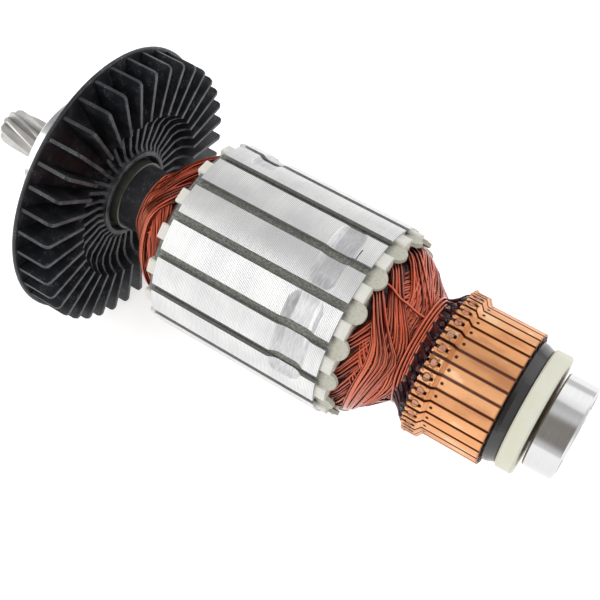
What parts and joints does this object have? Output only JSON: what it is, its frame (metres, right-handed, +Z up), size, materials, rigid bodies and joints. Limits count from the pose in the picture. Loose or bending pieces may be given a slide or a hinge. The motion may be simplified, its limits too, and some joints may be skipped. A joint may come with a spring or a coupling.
{
  "type": "motor armature",
  "caption": "Wound motor armature: laminated core, copper coils, commutator, cooling fan, two ball bearings and a helical pinion on one shaft.",
  "frame": {"origin": "centre of the rear (commutator end) ball bearing, on the shaft axis", "axes": "+X along the shaft, out of the commutator end; +Z up; +Y completes the right-handed frame"},
  "size_m": [0.1541, 0.0678, 0.0678],
  "materials": {
    "shaft_steel": "ground",
    "core_steel": "turned laminations",
    "insulator_cream": "matte",
    "slot_paper": "matte",
    "enamelled_copper": "clear varnish over enamelled copper wire",
    "wedge_fibre": "matte",
    "commutator_copper": "turned copper",
    "black_resin": "gloss",
    "washer_ivory": "satin",
    "black_plastic": "satin",
    "bush_metal": "dull",
    "bearing_steel": "ground and polished",
    "cage_steel": "pressed",
    "shield_steel": "pressed"
  },
  "bodies": {
    "rotor": {"shaft": "shaft_steel", "helical_pinion": "shaft_steel", "core_stack": "core_steel", "drive_end_insulator": "insulator_cream", "commutator_end_insulator": "insulator_cream", "slot_liners": "slot_paper", "slot_coils": "enamelled_copper", "slot_wedges": "wedge_fibre", "drive_end_windings": "enamelled_copper", "commutator_end_windings": "enamelled_copper", "commutator_leads": "enamelled_copper", "commutator_moulding": "black_resin", "commutator_bar_01": "commutator_copper", "commutator_bar_02": "commutator_copper", "commutator_bar_03": "commutator_copper", "commutator_bar_04": "commutator_copper", "commutator_bar_05": "commutator_copper", "commutator_bar_06": "commutator_copper", "commutator_bar_07": "commutator_copper", "commutator_bar_08": "commutator_copper", "commutator_bar_09": "commutator_copper", "commutator_bar_10": "commutator_copper", "commutator_bar_11": "commutator_copper", "commutator_bar_12": "commutator_copper", "commutator_bar_13": "commutator_copper", "commutator_bar_14": "commutator_copper", "commutator_bar_15": "commutator_copper", "commutator_bar_16": "commutator_copper", "commutator_bar_17": "commutator_copper", "commutator_bar_18": "commutator_copper", "commutator_bar_19": "commutator_copper", "commutator_bar_20": "commutator_copper", "commutator_bar_21": "commutator_copper", "commutator_bar_22": "commutator_copper", "commutator_bar_23": "commutator_copper", "commutator_bar_24": "commutator_copper", "commutator_bar_25": "commutator_copper", "commutator_bar_26": "commutator_copper", "commutator_bar_27": "commutator_copper", "commutator_bar_28": "commutator_copper", "commutator_bar_29": "commutator_copper", "commutator_bar_30": "commutator_copper", "commutator_bar_31": "commutator_copper", "commutator_bar_32": "commutator_copper", "dust_washer": "washer_ivory", "shaft_sleeve": "black_plastic", "fan_bush": "bush_metal", "fan": "black_plastic", "rear_inner_ring": "bearing_steel", "drive_inner_ring": "bearing_steel"},
    "rear_bearing_outer": {"rear_outer_ring": "bearing_steel", "rear_shields": "shield_steel"},
    "rear_ball_set": {"rear_balls": "bearing_steel", "rear_cage": "cage_steel"},
    "drive_bearing_outer": {"drive_outer_ring": "bearing_steel", "drive_shields": "shield_steel"},
    "drive_ball_set": {"drive_balls": "bearing_steel", "drive_cage": "cage_steel"}
  },
  "joints": [
    {"name": "rear_outer_ring_turn", "type": "hinge", "parent": "rotor", "child": "rear_bearing_outer", "pos_m": [0, 0, 0], "axis": [1, 0, 0], "continuous": true},
    {"name": "rear_ball_set_turn", "type": "hinge", "parent": "rotor", "child": "rear_ball_set", "pos_m": [0, 0, 0], "axis": [1, 0, 0], "continuous": true},
    {"name": "drive_outer_ring_turn", "type": "hinge", "parent": "rotor", "child": "drive_bearing_outer", "pos_m": [-0.1274, 0, 0], "axis": [1, 0, 0], "continuous": true},
    {"name": "drive_ball_set_turn", "type": "hinge", "parent": "rotor", "child": "drive_ball_set", "pos_m": [-0.1274, 0, 0], "axis": [1, 0, 0], "continuous": true}
  ],
  "couplings": [
    {"joint": "rear_ball_set_turn", "follows": "rear_outer_ring_turn", "ratio": 0.632},
    {"joint": "drive_ball_set_turn", "follows": "drive_outer_ring_turn", "ratio": 0.635}
  ]
}
